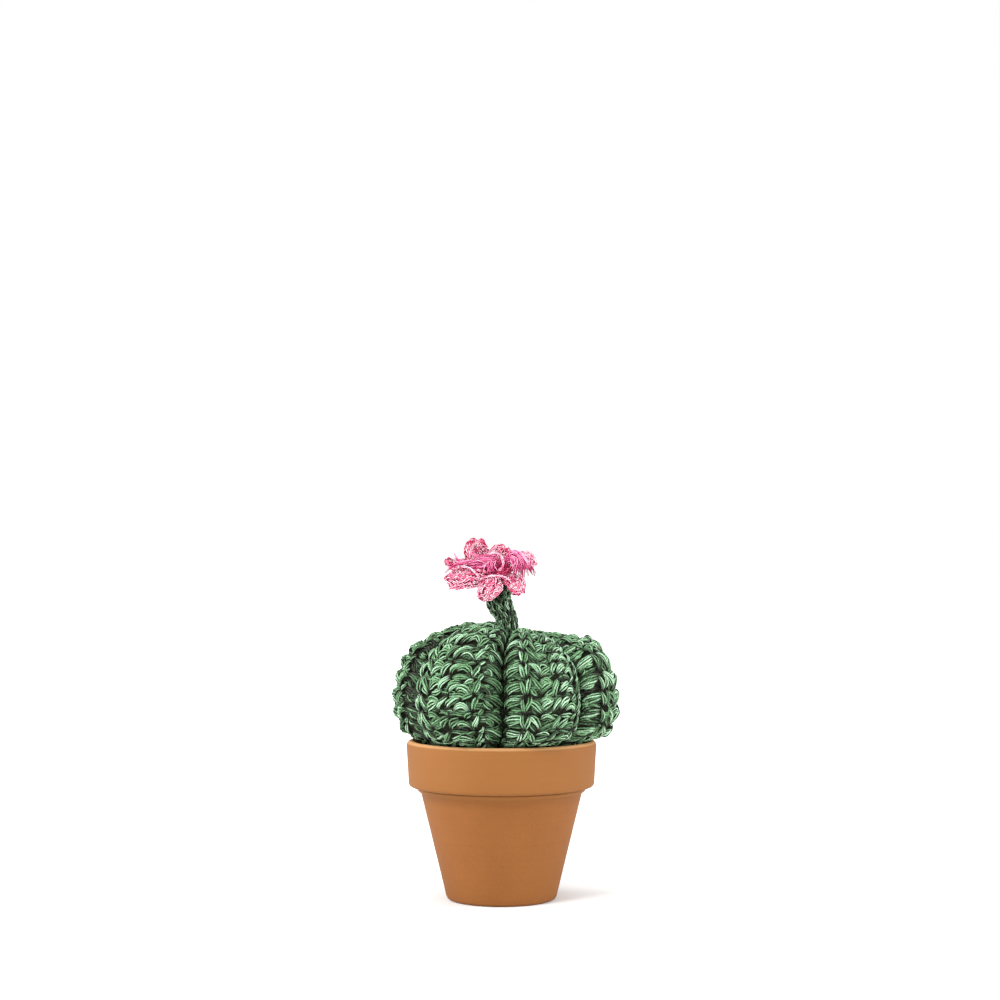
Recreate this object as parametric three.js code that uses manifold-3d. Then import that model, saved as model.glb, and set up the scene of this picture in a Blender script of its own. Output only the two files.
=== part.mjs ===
// A small crocheted round cactus in a terracotta pot.
// Millimetres, +Z up. The pot stands on z = 0 and the camera side of the object is -Y.
import * as THREE from 'three';
import Module from 'manifold-3d';
import { mergeVertices } from 'three/addons/utils/BufferGeometryUtils.js';

const wasm = await Module();
wasm.setup();

// ---------------------------------------------------------------- driving dimensions
const TAU = 2 * Math.PI;

const POT_HEIGHT = 50;
const RIM_RADIUS = 30;             // at the lip
const RIM_LOW_RADIUS = 29.6;       // at the foot of the rim band
const RIM_HEIGHT = 15.2;
const LIP_THICKNESS = 3;
const WALL_TOP_RADIUS = 25.6;      // just under the rim band
const BASE_RADIUS = 17.3;
const BASE_CORNER = 1.3;
const WALL_THICKNESS = 2.6;
const FLOOR_THICKNESS = 3.4;
const DRAIN_RADIUS = 4;
const POT_SIDES = 44;

// where the cactus's lobes meet, in degrees round from the front, towards +X
const CREASES = [-3, 49, 108, 170, 232, 295];
const LOBE_TURN = 1.48;            // how far a lobe's arc turns from its middle to a crease
const FULL_LOBE = 335;             // direction of the fullest lobe, in degrees
const FULLNESS = 0.04;
const EQUATOR_Z = 64;
const SIDE_SHIFT = 1.9;            // the body bulges a little to +X of the pot's axis
const TOP_LEAN = 2.1;              // and its top gather lies further that way

const STITCHES = 17;               // from the bottom gather to the top one
const RINGS_PER_STITCH = 3;
const COLUMNS_PER_LOBE = 12;
const STITCH_HEIGHT = 0.55;
const FABRIC = 2.2;                // thickness of the crocheted cover
const COVER_INNER_ROWS = 9;
const STUFFING_INSET = FABRIC + 0.95;

const STEM_BASE_RADIUS = 2.9;
const STEM_TOP_RADIUS = 4.0;
const STEM_SIDES = 12;
const STEM_STEPS = 26;
const STEM_STITCH = 0.32;
const STEM_CROWN = 0.8;            // how far its top is rounded over, as the sine of the last slope

const PETAL_THICKNESS = 1.5;
const THROAT_RADIUS = 2.4;         // the open middle of the flower, which holds the tassel
const THROAT_DEPTH = 4.2;
const FLOWER_CENTRE = new THREE.Vector3(-0.8, -0.5, 104.3);
const FLOWER_AXIS = new THREE.Vector3(-0.22, -0.55, 0.8).normalize();
const FLOWER_STEPS_ROUND = 66;
const FLOWER_STEPS_OUT = 7;

const STRAND_RADIUS = 0.6;
const STRAND_SIDES = 5;
const STRAND_STEPS = 6;
const STRAND_TAPER = 0.45;
const TASSEL_KNOT_RADIUS = 1.7;
const TASSEL_KNOT_HEIGHT = 2.2;    // above the bottom of the throat

// the whole object is moved so that the middle of its outline stands over the origin
const OUTLINE_MIDDLE = { x: 1.28, y: -0.86 };

// ---------------------------------------------------------------- small helpers
const { cos, sin, sqrt, PI } = Math;
const radians = (degrees) => degrees * PI / 180;
const mix = (a, b, k) => a + (b - a) * k;
const smooth = (low, high, x) => THREE.MathUtils.smoothstep(x, low, high);

function material(color, roughness) {
  return new THREE.MeshStandardMaterial({ color, roughness, metalness: 0 });
}

function geometryOf(points, triangles) {
  const geometry = new THREE.BufferGeometry();
  geometry.setAttribute('position', new THREE.Float32BufferAttribute(points.flatMap((p) => p.toArray()), 3));
  geometry.setIndex(triangles);
  return geometry;
}

// Rings of equally many points become one skin. A closed tube of rings has no ends,
// and an open one is closed at each end by a fan to the middle of its last ring.
// Where the rings come back along a thin sheet, from the one numbered turned, their squares
// are split the other way, so that both faces of the sheet have the same creases.
function skin(rings, joined, turned = rings.length) {
  const count = rings[0].length;
  const points = rings.flat();
  const triangles = [];
  const last = joined ? rings.length : rings.length - 1;
  for (let i = 0; i < last; i += 1) {
    const here = i * count;
    const next = ((i + 1) % rings.length) * count;
    for (let j = 0; j < count; j += 1) {
      const k = (j + 1) % count;
      if (i < turned) triangles.push(here + j, here + k, next + k, here + j, next + k, next + j);
      else triangles.push(here + j, here + k, next + j, here + k, next + k, next + j);
    }
  }
  if (!joined) {
    const fan = (ring, start, flip) => {
      const middle = new THREE.Vector3();
      ring.forEach((p) => middle.addScaledVector(p, 1 / count));
      points.push(middle);
      for (let j = 0; j < count; j += 1) {
        const pair = [start + j, start + (j + 1) % count];
        if (flip) pair.reverse();
        triangles.push(pair[1], pair[0], points.length - 1);
      }
    };
    fan(rings[0], 0, false);
    fan(rings[rings.length - 1], (rings.length - 1) * count, true);
  }
  return geometryOf(points, triangles);
}

function toSolid(geometry) {
  const bare = geometry.clone();
  bare.deleteAttribute('normal');
  bare.deleteAttribute('uv');
  const merged = mergeVertices(bare, 1e-4);
  return new wasm.Manifold(new wasm.Mesh({
    numProp: 3,
    vertProperties: new Float32Array(merged.attributes.position.array),
    triVerts: new Uint32Array(merged.index.array),
  }));
}

function fromSolid(solid) {
  const mesh = solid.getMesh();
  const geometry = new THREE.BufferGeometry();
  geometry.setAttribute('position', new THREE.Float32BufferAttribute(mesh.vertProperties, 3));
  geometry.setIndex([...mesh.triVerts]);
  return geometry;
}

// A round-sectioned tube along a curve, with its radius given at each share of the length.
function tube(curve, steps, sides, radiusAt) {
  const frames = curve.computeFrenetFrames(steps, false);
  const rings = [];
  for (let i = 0; i <= steps; i += 1) {
    const centre = curve.getPointAt(i / steps);
    const ring = [];
    for (let j = 0; j < sides; j += 1) {
      const angle = TAU * j / sides;
      const radius = radiusAt(i / steps, angle);
      ring.push(centre.clone()
        .addScaledVector(frames.normals[i], radius * cos(angle))
        .addScaledVector(frames.binormals[i], radius * sin(angle)));
    }
    rings.push(ring);
  }
  return skin(rings, false);
}

// ---------------------------------------------------------------- pot
function potGeometry() {
  const rimFoot = POT_HEIGHT - RIM_HEIGHT;
  const wallTop = rimFoot - 1.6;
  const lipRound = LIP_THICKNESS / 2;
  const insideTop = RIM_RADIUS - LIP_THICKNESS;
  const insideStep = WALL_TOP_RADIUS - WALL_THICKNESS;
  const insideLow = BASE_RADIUS - WALL_THICKNESS + 0.9;
  const outline = new THREE.Path();
  outline.moveTo(DRAIN_RADIUS, 0);
  outline.lineTo(BASE_RADIUS - BASE_CORNER, 0);
  outline.quadraticCurveTo(BASE_RADIUS, 0, BASE_RADIUS + 0.3, BASE_CORNER);
  outline.lineTo(WALL_TOP_RADIUS, wallTop);
  outline.quadraticCurveTo(WALL_TOP_RADIUS + 0.2, wallTop + 0.7, WALL_TOP_RADIUS + 1, wallTop + 0.8);
  outline.quadraticCurveTo(RIM_LOW_RADIUS - 0.3, wallTop + 1, RIM_LOW_RADIUS, rimFoot + 1.8);
  outline.lineTo(RIM_RADIUS, POT_HEIGHT - lipRound);
  outline.absarc(RIM_RADIUS - lipRound, POT_HEIGHT - lipRound, lipRound, 0, PI, false);
  outline.lineTo(insideTop - 0.8, rimFoot + 2.5);
  outline.quadraticCurveTo(insideTop - 1.1, rimFoot - 0.5, insideStep, wallTop - 0.8);
  outline.lineTo(insideLow, FLOOR_THICKNESS + 2);
  outline.quadraticCurveTo(insideLow - 0.3, FLOOR_THICKNESS, insideLow - 2.2, FLOOR_THICKNESS);
  outline.lineTo(DRAIN_RADIUS, FLOOR_THICKNESS);
  outline.closePath();
  return new THREE.LatheGeometry(outline.getPoints(3), POT_SIDES).rotateX(PI / 2);
}

// ---------------------------------------------------------------- cactus body
const curve2 = (pairs) => new THREE.SplineCurve(pairs.map(([across, up]) => new THREE.Vector2(across, up)));

// Half sections of the body, from the bottom gather, which sits down in the pot, out over
// the lip and up to the top gather: one over the middle of a lobe, one along a crease.
const CREST = curve2([
  [2.2, 43.6], [10, 40.8], [18.6, 42.6], [23.2, 46.2], [25.4, 49.3], [28.2, 51.2], [31.2, 51.7],
  [34, 54.6], [35.5, 59], [35.8, 64], [35, 69.4], [33.2, 75], [29.6, 80], [24, 84],
  [17, 86.3], [10.5, 86.3], [5.5, 84.3], [2.5, 81.5],
]);
const CREASE = curve2([
  [1.7, 44.6], [9, 44.2], [16.5, 46.2], [21.4, 50.4], [24.4, 55.5], [25.8, 61], [25.9, 66],
  [24.9, 71.5], [22, 77], [16.8, 81.2], [11, 83], [6, 82.6], [2, 80.6],
]);

const LOBES = CREASES.map((start, i) => {
  const end = i + 1 < CREASES.length ? CREASES[i + 1] : CREASES[0] + 360;
  return { middle: radians((start + end) / 2), half: radians((end - start) / 2) };
});

// Outward direction at an angle round from the front.
const outward = (angle) => new THREE.Vector3(sin(angle), -cos(angle), 0);

// The point at share t of the sections' length, and at v across one lobe, where -1 and 1
// are the creases. Across a lobe the surface is a round arc from crease to crease.
function lobePoint(lobe, v, t) {
  const turn = v * LOBE_TURN;
  const share = (cos(turn) - cos(LOBE_TURN)) / (1 - cos(LOBE_TURN));
  const section = CREASE.getPointAt(t).lerp(CREST.getPointAt(t), share);
  const point = outward(lobe.middle + lobe.half * sin(turn) / sin(LOBE_TURN)).multiplyScalar(section.x);
  point.z = section.y;
  return point;
}

// The stuffed body isn't even: one lobe is fuller, and it leans away from the flower.
function settle(point) {
  const angle = Math.atan2(point.x, -point.y);
  const swell = 1 + FULLNESS * cos(angle - radians(FULL_LOBE)) * smooth(POT_HEIGHT, EQUATOR_Z, point.z);
  const shift = SIDE_SHIFT * smooth(POT_HEIGHT - 3, POT_HEIGHT + 6, point.z);
  const lean = TOP_LEAN * smooth(78, 89, point.z);
  return new THREE.Vector3(point.x * swell + shift + lean, point.y * swell, point.z);
}

// Outward normal of the body: along the section's normal at the creases, and square to
// the surface between them.
function lobeNormal(lobe, v, t) {
  const step = 0.004;
  const [low, high] = [Math.max(0, t - step), Math.min(1, t + step)];
  const upward = lobePoint(lobe, v, high).sub(lobePoint(lobe, v, low));
  const edge = Math.abs(v) === 1;
  const across = edge
    ? outward(lobe.middle + v * lobe.half + PI / 2)
    : lobePoint(lobe, v + step, t).sub(lobePoint(lobe, v - step, t));
  return across.cross(upward).normalize();
}

// Inward, square to the section at a point's own direction from the axis, so that the
// inside of the fabric keeps the lobes' order at the narrow gathers.
function sectionNormal(lobe, v, t) {
  const along = CREST.getTangentAt(t).add(CREASE.getTangentAt(t)).normalize();
  const point = lobePoint(lobe, v, t);
  const normal = outward(Math.atan2(point.x, -point.y)).multiplyScalar(along.y);
  normal.z = -along.x;
  return normal;
}

// Stitches by column across a lobe: how far each stands out at its peak and in the gap
// above it, as shares of STITCH_HEIGHT, and how far along the row it is moved. Columns 3
// and 9 are the chains of V's, and column 6 the valley between them.
const STITCH_COLUMNS = [
  { peak: -1.6, gap: -1.8, along: 0 },
  { peak: 0.7, gap: -0.9, along: 0.25 },
  { peak: 1.1, gap: -0.8, along: 0.35 },
  { peak: 1.5, gap: 0.4, along: 0.1 },
  { peak: 1.1, gap: -0.9, along: -0.1 },
  { peak: 0.8, gap: -1, along: -0.3 },
  { peak: -0.4, gap: -1.5, along: -0.2 },
  { peak: 0.9, gap: -0.9, along: 0.1 },
  { peak: 1.2, gap: -0.8, along: 0.3 },
  { peak: 1.5, gap: 0.4, along: 0.1 },
  { peak: 1.1, gap: -0.9, along: -0.1 },
  { peak: 0.7, gap: -1, along: -0.3 },
];

function bodyRing(t, columnStep, place) {
  const ring = [];
  LOBES.forEach((lobe) => {
    for (let column = 0; column < COLUMNS_PER_LOBE; column += columnStep) {
      ring.push(place(lobe, 2 * column / COLUMNS_PER_LOBE - 1, t, column));
    }
  });
  return ring;
}

function stitchedPoint(lobe, v, t, column) {
  const stitch = STITCH_COLUMNS[column];
  const inGap = Math.round(t * STITCHES * RINGS_PER_STITCH) % RINGS_PER_STITCH === 0;
  const fade = Math.min(1, 5 * Math.min(t, 1 - t));
  const share = t + fade * stitch.along / STITCHES;
  const out = (inGap ? stitch.gap : stitch.peak) * STITCH_HEIGHT * fade;
  return settle(lobePoint(lobe, v, share).addScaledVector(lobeNormal(lobe, v, share), out));
}

function insetPoint(depth) {
  return (lobe, v, t) => settle(lobePoint(lobe, v, t).addScaledVector(sectionNormal(lobe, v, t), -depth));
}

function coverGeometry() {
  const rings = [];
  const rows = STITCHES * RINGS_PER_STITCH;
  for (let row = 0; row <= rows; row += 1) {
    rings.push(bodyRing(row / rows, 1, stitchedPoint));
  }
  for (let row = COVER_INNER_ROWS; row >= 0; row -= 1) {
    rings.push(bodyRing(row / COVER_INNER_ROWS, 1, insetPoint(FABRIC)));
  }
  return skin(rings, true);
}

function stuffingGeometry() {
  const rings = [];
  for (let row = 0; row <= COVER_INNER_ROWS; row += 1) {
    rings.push(bodyRing(row / COVER_INNER_ROWS, 2, insetPoint(STUFFING_INSET)));
  }
  return skin(rings, false);
}

// ---------------------------------------------------------------- stem
// From its root in the top gather up to the flower, whose throat it closes from below.
const STEM_POINTS = [
  [4.9, 0.1, 83.1], [3.6, 0.5, 86.4], [1.8, 1.3, 89.8], [0.1, 2, 92.8], [-0.6, 2.4, 95.6], [-0.5, 2.2, 98.3],
];

function stemGeometry() {
  const path = new THREE.CatmullRomCurve3(STEM_POINTS.map((p) => new THREE.Vector3(...p)));
  return tube(path, STEM_STEPS, STEM_SIDES, (share, angle) => {
    const radius = mix(STEM_BASE_RADIUS, STEM_TOP_RADIUS, smooth(0, 0.75, share));
    const root = sqrt(1 - (1 - Math.min(1, share * 5 + 0.25)) ** 2);
    const crown = sqrt(1 - (STEM_CROWN * smooth(0.84, 1, share)) ** 2);
    const stitches = STEM_STITCH * cos(PI * STEM_STEPS * share + 3 * angle) * Math.min(1, 6 * (1 - share));
    return (radius + stitches) * root * crown;
  });
}

// ---------------------------------------------------------------- flower
// Each petal: direction round the flower's axis in degrees, reach from the axis, and how
// far its tip stands above the throat, or hangs below it.
const PETALS = [
  { direction: 2, reach: 12.3, lift: 0.4 },
  { direction: 72, reach: 9.4, lift: 3.3 },
  { direction: 124, reach: 12, lift: 5.6 },
  { direction: 171, reach: 17.2, lift: 1 },
  { direction: 208, reach: 15, lift: 0.2 },
  { direction: 250, reach: 12.4, lift: -3.4 },
  { direction: 313, reach: 10.6, lift: -5.2 },
];
const NOTCH = 0.4;                 // how deep the edge is cut between two petals
const PETAL_CUP = 1.5;             // how far the notches stand above or below the petals

const flowerSide = new THREE.Vector3(1, 0, 0).addScaledVector(FLOWER_AXIS, -FLOWER_AXIS.x).normalize();
const flowerBack = new THREE.Vector3().crossVectors(FLOWER_AXIS, flowerSide);

// The petals' reach and lift at any direction, blended between neighbours.
function petalEdge(angle) {
  const degrees = THREE.MathUtils.euclideanModulo(angle * 180 / PI - PETALS[0].direction, 360);
  const starts = PETALS.map((petal) => petal.direction - PETALS[0].direction);
  const i = starts.findLastIndex((start) => start <= degrees);
  const here = PETALS[i];
  const next = PETALS[(i + 1) % PETALS.length];
  const width = (starts[i + 1] ?? 360) - starts[i];
  const share = (degrees - starts[i]) / width;
  const blend = smooth(0, 1, share);
  const between = sin(PI * share) ** 4 * Math.min(1, width / 50);
  return {
    reach: mix(here.reach, next.reach, blend) * (1 - NOTCH * between),
    lift: mix(here.lift, next.lift, blend) + PETAL_CUP * between * (i % 2 ? -1 : 1),
  };
}

// A point of the flower's middle surface: out is 0 at the throat and 1 at the petals' edge.
function petalPoint(out, angle) {
  const edge = petalEdge(angle);
  const across = mix(THROAT_RADIUS, edge.reach, out);
  const bowl = -THROAT_DEPTH * (1 - smooth(0, 0.55, out));
  const up = bowl + edge.lift * out ** 1.5 + 0.5 * sin(12 * angle) * out ** 2;
  return FLOWER_CENTRE.clone()
    .addScaledVector(flowerSide, across * cos(angle))
    .addScaledVector(flowerBack, across * sin(angle))
    .addScaledVector(FLOWER_AXIS, up);
}

// The two faces stand apart along the flower's axis, so they don't cross in the tight notches.
function flowerGeometry() {
  const ringAt = (out, side) => {
    const ring = [];
    for (let j = 0; j < FLOWER_STEPS_ROUND; j += 1) {
      const angle = TAU * j / FLOWER_STEPS_ROUND;
      const knobbly = 1 + 0.28 * ((j + Math.round(out * FLOWER_STEPS_OUT)) % 2) * smooth(0.1, 0.4, out);
      ring.push(petalPoint(out, angle).addScaledVector(FLOWER_AXIS, side * knobbly * PETAL_THICKNESS / 2));
    }
    return ring;
  };
  const rings = [];
  for (let i = 0; i <= FLOWER_STEPS_OUT; i += 1) rings.push(ringAt(i / FLOWER_STEPS_OUT, -1));
  for (let i = FLOWER_STEPS_OUT; i >= 0; i -= 1) rings.push(ringAt(i / FLOWER_STEPS_OUT, 1));
  return skin(rings, true, FLOWER_STEPS_OUT + 1);
}

// ---------------------------------------------------------------- tassel of floss
// Each bundle: the directions it fans out to, how far out it reaches, how high it arches
// over the petals, and its strands.
const BUNDLES = [
  { from: 158, to: 204, reach: 0.86, arch: 1.6, strands: 6 },
  { from: 222, to: 262, reach: 0.5, arch: 1.2, strands: 3 },
  { from: -46, to: 12, reach: 0.86, arch: 2, strands: 6 },
];
const STRAND_LIFT = PETAL_THICKNESS / 2 + STRAND_RADIUS + 1.6;

function strandSolid(angle, reach, arch) {
  const points = [];
  for (let i = 0; i <= 4; i += 1) {
    const out = reach * i / 4;
    const lift = STRAND_LIFT + arch * sin(PI * (0.2 + 0.16 * i));
    points.push(petalPoint(out, angle).addScaledVector(FLOWER_AXIS, lift));
  }
  points[0].copy(petalPoint(0, angle).lerp(petalPoint(0, angle + PI), 0.45)
    .addScaledVector(FLOWER_AXIS, TASSEL_KNOT_HEIGHT + 0.4));
  const path = new THREE.CatmullRomCurve3(points);
  const radiusAt = (share) => STRAND_RADIUS * (1 - STRAND_TAPER * share);
  return toSolid(tube(path, STRAND_STEPS, STRAND_SIDES, radiusAt));
}

function tasselGeometry() {
  const middle = petalPoint(0, 0).lerp(petalPoint(0, PI), 0.5);
  const knot = new THREE.SphereGeometry(TASSEL_KNOT_RADIUS, 12, 8);
  knot.translate(...middle.addScaledVector(FLOWER_AXIS, TASSEL_KNOT_HEIGHT).toArray());
  let solid = toSolid(knot);
  BUNDLES.forEach((bundle, b) => {
    for (let i = 0; i < bundle.strands; i += 1) {
      const share = (i + 0.5) / bundle.strands;
      const angle = radians(mix(bundle.from, bundle.to, share));
      const reach = bundle.reach * (0.86 + 0.14 * cos(5 * i + b));
      solid = solid.add(strandSolid(angle, reach, bundle.arch + 0.4 * sin(3 * i + b)));
    }
  });
  return fromSolid(solid);
}

// ---------------------------------------------------------------- the object
function piece(name, geometry, look) {
  const mesh = new THREE.Mesh(geometry, look);
  mesh.name = name;
  return mesh;
}

const pottedCactus = new THREE.Group();
pottedCactus.position.set(-OUTLINE_MIDDLE.x, -OUTLINE_MIDDLE.y, 0);
pottedCactus.add(
  piece('pot', potGeometry(), material(0xb97a46, 0.85)),
  piece('cactus_cover', coverGeometry(), material(0x53705a, 0.7)),
  piece('cactus_stuffing', stuffingGeometry(), material(0xe9e6df, 0.95)),
  piece('stem', stemGeometry(), material(0x41553d, 0.75)),
  piece('flower', flowerGeometry(), material(0xd07a90, 0.7)),
  piece('flower_tassel', tasselGeometry(), material(0xdd5184, 0.45)),
);

export default pottedCactus;
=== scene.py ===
# A small crocheted round cactus in a terracotta pot, with a crocheted pink flower.
import bisect
import math
import random
from collections import namedtuple

import bmesh
import bpy
from mathutils import Matrix, Vector, noise


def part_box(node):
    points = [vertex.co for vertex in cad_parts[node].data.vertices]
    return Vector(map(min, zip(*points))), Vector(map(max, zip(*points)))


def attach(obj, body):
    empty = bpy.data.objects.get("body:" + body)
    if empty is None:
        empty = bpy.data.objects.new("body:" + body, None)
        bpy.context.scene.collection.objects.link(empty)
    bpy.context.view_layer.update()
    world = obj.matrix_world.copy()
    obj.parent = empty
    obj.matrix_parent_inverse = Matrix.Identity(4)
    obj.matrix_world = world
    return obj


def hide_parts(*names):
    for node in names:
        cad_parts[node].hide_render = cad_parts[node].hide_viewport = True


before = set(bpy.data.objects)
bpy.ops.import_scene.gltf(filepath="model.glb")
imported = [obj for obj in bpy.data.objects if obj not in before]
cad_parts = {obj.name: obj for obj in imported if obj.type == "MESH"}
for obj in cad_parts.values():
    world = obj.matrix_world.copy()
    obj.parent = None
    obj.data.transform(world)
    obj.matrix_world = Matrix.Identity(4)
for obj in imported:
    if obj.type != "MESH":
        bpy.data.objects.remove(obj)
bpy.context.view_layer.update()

scene = bpy.context.scene

# Shapes are worked out in millimetres from the pot's own axis, and put in place at the end.
MM = 0.001
pot_low, pot_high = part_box("pot")
POT_AXIS = Vector(((pot_low.x + pot_high.x) / 2, (pot_low.y + pot_high.y) / 2, pot_low.z))
UP = Vector((0, 0, 1))
# Where the random draws start. Each lobe, petal and cord counts on from the first one's.
LOBE_SEED, STEM_SEED, THROAT_SEED, PETAL_SEED, TASSEL_SEED, CORD_SEED = 8, 27, 37, 47, 57, 67
FILLING_SEED = 77


def mix(a, b, share):
    return a + (b - a) * share


def smooth(low, high, x):
    """0 up to low, 1 from high on, and an even ramp between them."""
    share = min(1, max(0, (x - low) / (high - low)))
    return share * share * (3 - 2 * share)


def in_frame(point):
    """From millimetres from the pot's foot to metres in the frame."""
    return POT_AXIS + MM * point


def add_object(name, data):
    new = bpy.data.objects.new(name, data)
    scene.collection.objects.link(new)
    return new


# ------------------------ camera, floor and light
EYE = Vector((-0.48, -621.2, 105))       # from the pot's foot
LOOKS_UP = math.radians(1.9725)
LENS, SENSOR_WIDTH = 70, 36
FLOOR_SIZE = 30                          # metres
# Painted light: the floor glows more with distance from the pot, and not at all beside it, which leaves a
# painted shadow round the pot's foot.
FLOOR_GLOW = ((0.02, 0), (0.055, 0.3), (1, 1))   # metres from the pot's axis, and its glow there
SIDE_LIGHT, TOP_LIGHT = 0.45, 1.2        # of the white room
LIT_SPOT = Vector((0, 0, 60))            # what the softboxes face
SOFTBOXES = {                            # metres from that spot, size and watts
    "key_softbox": ((-1.1, -1.3, 1.5), 0.8, 42),
    "front_softbox": ((-0.3, -2.2, 0.2), 0.6, 17),
    "left_softbox": ((-2, 0.3, 0.5), 0.8, 25),
    "right_softbox": ((2, -0.2, 0.7), 0.8, 39),
}


def add_camera():
    lens = bpy.data.cameras.new("camera")
    lens.lens = LENS
    lens.sensor_width = SENSOR_WIDTH
    lens.clip_start = 0.01
    camera = add_object("camera", lens)
    camera.location = in_frame(EYE)
    camera.rotation_euler = (math.radians(90) + LOOKS_UP, 0, 0)
    scene.camera = camera


def add_softboxes():
    for name, (place, size, watts) in SOFTBOXES.items():
        light = bpy.data.lights.new(name, "AREA")
        light.size = size
        light.energy = watts
        softbox = add_object(name, light)
        softbox.location = in_frame(LIT_SPOT) + Vector(place)
        softbox.rotation_euler = (-Vector(place)).to_track_quat("-Z", "Y").to_euler()


# ------------------------ finishes
class Wire:
    """A value that varies over a surface. Arithmetic on it adds Math nodes to its tree."""

    def __init__(self, nodes, socket):
        self.nodes = nodes
        self.socket = socket

    def maths(self, operation, *values):
        return self.nodes.add("ShaderNodeMath", {"operation": operation}, dict(enumerate(values)))

    def __add__(self, other):
        return self.maths("ADD", self, other)

    __radd__ = __add__

    def __sub__(self, other):
        return self.maths("SUBTRACT", self, other)

    def __rsub__(self, other):
        return self.maths("SUBTRACT", other, self)

    def __mul__(self, other):
        return self.maths("MULTIPLY", self, other)

    __rmul__ = __mul__

    def __pow__(self, other):
        return self.maths("POWER", self, other)


class Nodes:
    """A tree of nodes, put together one by one around a shader."""

    def __init__(self, tree, shader):
        self.tree = tree
        self.shader = tree.nodes[shader]

    def add(self, kind, settings=None, sockets=None, out=0):
        """Adds a node: its settings first, then the values or wires of its sockets."""
        node = self.tree.nodes.new(kind)
        for name, value in (settings or {}).items():
            if name == "stops":
                self.set_stops(node.color_ramp, value)
            else:
                setattr(node, name, value)
        for name, value in (sockets or {}).items():
            self.plug(self.find(node.inputs, name), value)
        return Wire(self, self.find(node.outputs, out))

    @staticmethod
    def find(sockets, name):
        if isinstance(name, int):
            return sockets[name]
        return next(s for s in sockets if name in (s.identifier, s.name))

    @staticmethod
    def set_stops(ramp, stops):
        while len(ramp.elements) < len(stops):
            ramp.elements.new(0.5)
        for element, (position, colour) in zip(ramp.elements, stops):
            element.position = position
            element.color = (*colour, 1)

    def plug(self, socket, value):
        if isinstance(value, Wire):
            self.tree.links.new(value.socket, socket)
        elif isinstance(value, tuple) and len(value) == 3 and socket.type == "RGBA":
            socket.default_value = (*value, 1)
        else:
            socket.default_value = value

    def surface(self, **values):
        """Sets the shader's sockets to numbers, colours or wires."""
        for name, value in values.items():
            self.plug(self.shader.inputs[name.replace("_", " ")], value)


class Finish(Nodes):
    """One procedural material."""

    def __init__(self, name, **shader):
        self.material = bpy.data.materials.new(name)
        self.material.use_nodes = True
        super().__init__(self.material.node_tree, "Principled BSDF")
        self.surface(**shader)

    def place(self):
        return self.add("ShaderNodeTexCoord", out="Object")

    def noise(self, place, scale, detail=2.0, roughness=0.5):
        sockets = {"Vector": place, "Scale": scale, "Detail": detail, "Roughness": roughness}
        return self.add("ShaderNodeTexNoise", None, sockets)

    def ramp(self, value, *stops):
        return self.add("ShaderNodeValToRGB", {"stops": stops}, {"Fac": value})

    def blend(self, factor, first, second):
        sockets = {"Factor_Float": factor, "A_Color": first, "B_Color": second}
        return self.add("ShaderNodeMix", {"data_type": "RGBA"}, sockets, "Result_Color")

    def bump(self, height, distance):
        return self.add("ShaderNodeBump", None, {"Height": height, "Distance": distance, "Strength": 1})

    def eased(self, value, low, high):
        """From 0 at low to 1 at high."""
        sockets = {"Value": value, "From Min": low, "From Max": high}
        return self.add("ShaderNodeMapRange", {"interpolation_type": "SMOOTHSTEP"}, sockets)

    def thread_place(self):
        """Where a point is along its thread and round it."""
        uv = self.add("ShaderNodeUVMap", {"uv_map": "UVMap"})
        return [self.add("ShaderNodeSeparateXYZ", None, {"Vector": uv}, axis) for axis in "XY"]

    def crown(self):
        """1 on the side of a thread that faces out from the fabric, -1 on its underside."""
        out = self.add("ShaderNodeAttribute", {"attribute_name": "out"}, out="Vector")
        normal = self.add("ShaderNodeNewGeometry", out="Normal")
        return self.add("ShaderNodeVectorMath", {"operation": "DOT_PRODUCT"}, {0: normal, 1: out}, "Value")


YARN_BUMP, CLAY_BUMP, GROUND_BUMP, FILLING_BUMP = 0.00008, 0.00012, 0.0004, 0.0006   # metres deep
# The clay turns paler at the rim, and at the lip's top as a painted highlight.
RIM_FOOT, LIP_EDGE = (0.0325, 0.0345), (0.0489, 0.0497)   # heights between which the clay turns paler

# The shades of each yarn, from the darkest thread to the lightest. The tone that reads them also carries
# painted shade, so their darkest stops stand mostly for painted shade, and the palest green partly for
# painted highlights.
GREENS = ((0, (0.018, 0.03, 0.015)), (0.25, (0.066, 0.16, 0.066)), (0.55, (0.175, 0.38, 0.178)),
          (1, (0.48, 0.75, 0.5)))
DARK_GREENS = ((0, (0.008, 0.018, 0.009)), (0.45, (0.07, 0.155, 0.07)), (1, (0.45, 0.72, 0.45)))
PINKS = ((0, (0.66, 0.07, 0.17)), (0.3, (0.88, 0.24, 0.4)), (0.6, (1, 0.66, 0.8)), (1, (1, 0.95, 0.98)))
MAGENTAS = ((0, (0.58, 0.03, 0.15)), (0.5, (0.97, 0.28, 0.5)), (1, (1, 0.72, 0.88)))


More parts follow.
